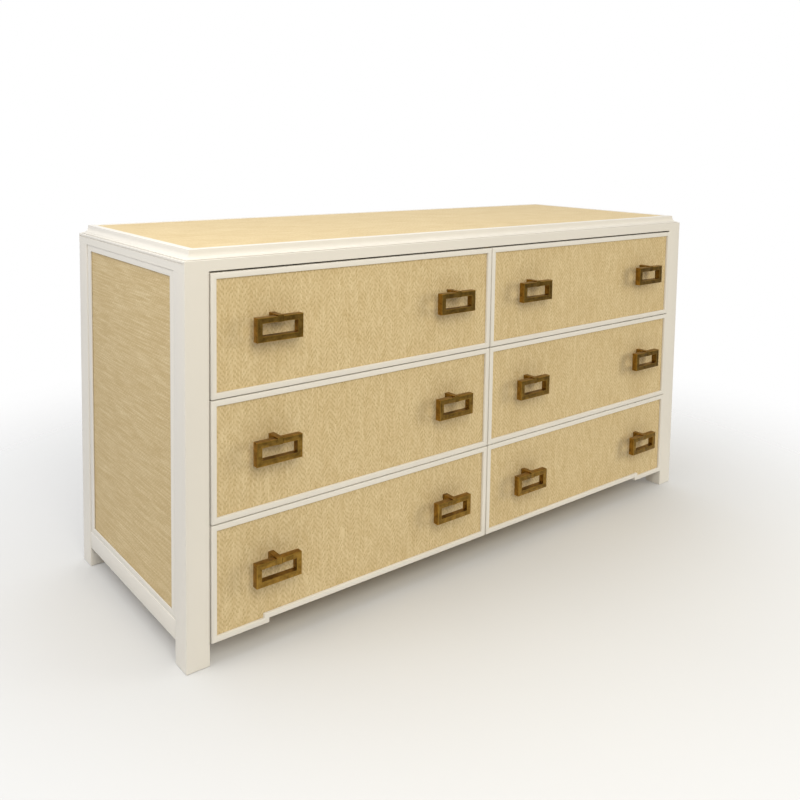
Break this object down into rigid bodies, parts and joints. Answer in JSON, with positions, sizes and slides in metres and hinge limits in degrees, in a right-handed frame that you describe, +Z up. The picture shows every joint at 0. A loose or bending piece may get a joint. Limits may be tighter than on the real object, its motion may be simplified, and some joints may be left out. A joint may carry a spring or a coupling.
{
  "type": "dresser with drawers",
  "caption": "Low wide dresser in off-white lacquer with raffia-faced drawers, ends and top, square post feet and brass drop-ring pulls.",
  "frame": {"origin": "on the floor under the middle of the whole outline, which includes the pulls", "axes": "+Z up, the drawers open toward -Y, +X to the right of someone facing the drawers"},
  "size_m": [1.524, 0.592, 0.787],
  "materials": {
    "lacquer": "off-white satin lacquer on wood",
    "raffia": "woven straw-coloured raffia, matt",
    "raffia_board": "board faced with woven straw-coloured raffia, matt",
    "drawer_wood": "pale clear-finished wood inside the case",
    "brass": "antique brass, satin"
  },
  "bodies": {
    "case": {"back_panel": "lacquer", "bottom_board": "drawer_wood", "centre_partition": "drawer_wood", "end_frame_left": "lacquer", "end_frame_right": "lacquer", "end_panel_left": "raffia_board", "end_panel_right": "raffia_board", "end_rail_left": "lacquer", "end_rail_right": "lacquer", "lower_dust_board": "drawer_wood", "post_back_left": "lacquer", "post_back_right": "lacquer", "post_front_left": "lacquer", "post_front_right": "lacquer", "top_board": "lacquer", "top_panel": "raffia", "top_tier": "lacquer", "upper_dust_board": "drawer_wood"},
    "drawer_top_left": {"drawer_front_top_left": "lacquer", "drawer_facing_top_left": "raffia", "drawer_box_top_left": "drawer_wood", "pull_stem_top_left_a": "brass", "pull_stem_top_left_b": "brass"},
    "drawer_top_right": {"drawer_front_top_right": "lacquer", "drawer_facing_top_right": "raffia", "drawer_box_top_right": "drawer_wood", "pull_stem_top_right_a": "brass", "pull_stem_top_right_b": "brass"},
    "drawer_middle_left": {"drawer_front_middle_left": "lacquer", "drawer_facing_middle_left": "raffia", "drawer_box_middle_left": "drawer_wood", "pull_stem_middle_left_a": "brass", "pull_stem_middle_left_b": "brass"},
    "drawer_middle_right": {"drawer_front_middle_right": "lacquer", "drawer_facing_middle_right": "raffia", "drawer_box_middle_right": "drawer_wood", "pull_stem_middle_right_a": "brass", "pull_stem_middle_right_b": "brass"},
    "drawer_bottom_left": {"drawer_front_bottom_left": "lacquer", "drawer_facing_bottom_left": "raffia", "drawer_box_bottom_left": "drawer_wood", "pull_stem_bottom_left_a": "brass", "pull_stem_bottom_left_b": "brass"},
    "drawer_bottom_right": {"drawer_front_bottom_right": "lacquer", "drawer_facing_bottom_right": "raffia", "drawer_box_bottom_right": "drawer_wood", "pull_stem_bottom_right_a": "brass", "pull_stem_bottom_right_b": "brass"},
    "ring_top_left_a": {"pull_ring_top_left_a": "brass"},
    "ring_top_left_b": {"pull_ring_top_left_b": "brass"},
    "ring_top_right_a": {"pull_ring_top_right_a": "brass"},
    "ring_top_right_b": {"pull_ring_top_right_b": "brass"},
    "ring_middle_left_a": {"pull_ring_middle_left_a": "brass"},
    "ring_middle_left_b": {"pull_ring_middle_left_b": "brass"},
    "ring_middle_right_a": {"pull_ring_middle_right_a": "brass"},
    "ring_middle_right_b": {"pull_ring_middle_right_b": "brass"},
    "ring_bottom_left_a": {"pull_ring_bottom_left_a": "brass"},
    "ring_bottom_left_b": {"pull_ring_bottom_left_b": "brass"},
    "ring_bottom_right_a": {"pull_ring_bottom_right_a": "brass"},
    "ring_bottom_right_b": {"pull_ring_bottom_right_b": "brass"}
  },
  "joints": [
    {"name": "drawer_top_left_slide", "type": "slide", "parent": "case", "child": "drawer_top_left", "axis": [0, -1, 0], "range_m": [0, 0.38]},
    {"name": "drawer_top_right_slide", "type": "slide", "parent": "case", "child": "drawer_top_right", "axis": [0, -1, 0], "range_m": [0, 0.38]},
    {"name": "drawer_middle_left_slide", "type": "slide", "parent": "case", "child": "drawer_middle_left", "axis": [0, -1, 0], "range_m": [0, 0.38]},
    {"name": "drawer_middle_right_slide", "type": "slide", "parent": "case", "child": "drawer_middle_right", "axis": [0, -1, 0], "range_m": [0, 0.38]},
    {"name": "drawer_bottom_left_slide", "type": "slide", "parent": "case", "child": "drawer_bottom_left", "axis": [0, -1, 0], "range_m": [0, 0.38]},
    {"name": "drawer_bottom_right_slide", "type": "slide", "parent": "case", "child": "drawer_bottom_right", "axis": [0, -1, 0], "range_m": [0, 0.38]},
    {"name": "ring_top_left_a_swing", "type": "hinge", "parent": "drawer_top_left", "child": "ring_top_left_a", "pos_m": [-0.5844, -0.288, 0.65095], "axis": [-1, 0, 0], "range_deg": [-28, 90]},
    {"name": "ring_top_left_b_swing", "type": "hinge", "parent": "drawer_top_left", "child": "ring_top_left_b", "pos_m": [-0.1295, -0.288, 0.65095], "axis": [-1, 0, 0], "range_deg": [-28, 90]},
    {"name": "ring_top_right_a_swing", "type": "hinge", "parent": "drawer_top_right", "child": "ring_top_right_a", "pos_m": [0.1295, -0.288, 0.65095], "axis": [-1, 0, 0], "range_deg": [-28, 90]},
    {"name": "ring_top_right_b_swing", "type": "hinge", "parent": "drawer_top_right", "child": "ring_top_right_b", "pos_m": [0.5844, -0.288, 0.65095], "axis": [-1, 0, 0], "range_deg": [-28, 90]},
    {"name": "ring_middle_left_a_swing", "type": "hinge", "parent": "drawer_middle_left", "child": "ring_middle_left_a", "pos_m": [-0.5844, -0.288, 0.41462], "axis": [-1, 0, 0], "range_deg": [-28, 90]},
    {"name": "ring_middle_left_b_swing", "type": "hinge", "parent": "drawer_middle_left", "child": "ring_middle_left_b", "pos_m": [-0.1295, -0.288, 0.41462], "axis": [-1, 0, 0], "range_deg": [-28, 90]},
    {"name": "ring_middle_right_a_swing", "type": "hinge", "parent": "drawer_middle_right", "child": "ring_middle_right_a", "pos_m": [0.1295, -0.288, 0.41462], "axis": [-1, 0, 0], "range_deg": [-28, 90]},
    {"name": "ring_middle_right_b_swing", "type": "hinge", "parent": "drawer_middle_right", "child": "ring_middle_right_b", "pos_m": [0.5844, -0.288, 0.41462], "axis": [-1, 0, 0], "range_deg": [-28, 90]},
    {"name": "ring_bottom_left_a_swing", "type": "hinge", "parent": "drawer_bottom_left", "child": "ring_bottom_left_a", "pos_m": [-0.5844, -0.288, 0.17828], "axis": [-1, 0, 0], "range_deg": [-28, 90]},
    {"name": "ring_bottom_left_b_swing", "type": "hinge", "parent": "drawer_bottom_left", "child": "ring_bottom_left_b", "pos_m": [-0.1295, -0.288, 0.17828], "axis": [-1, 0, 0], "range_deg": [-28, 90]},
    {"name": "ring_bottom_right_a_swing", "type": "hinge", "parent": "drawer_bottom_right", "child": "ring_bottom_right_a", "pos_m": [0.1295, -0.288, 0.17828], "axis": [-1, 0, 0], "range_deg": [-28, 90]},
    {"name": "ring_bottom_right_b_swing", "type": "hinge", "parent": "drawer_bottom_right", "child": "ring_bottom_right_b", "pos_m": [0.5844, -0.288, 0.17828], "axis": [-1, 0, 0], "range_deg": [-28, 90]}
  ]
}
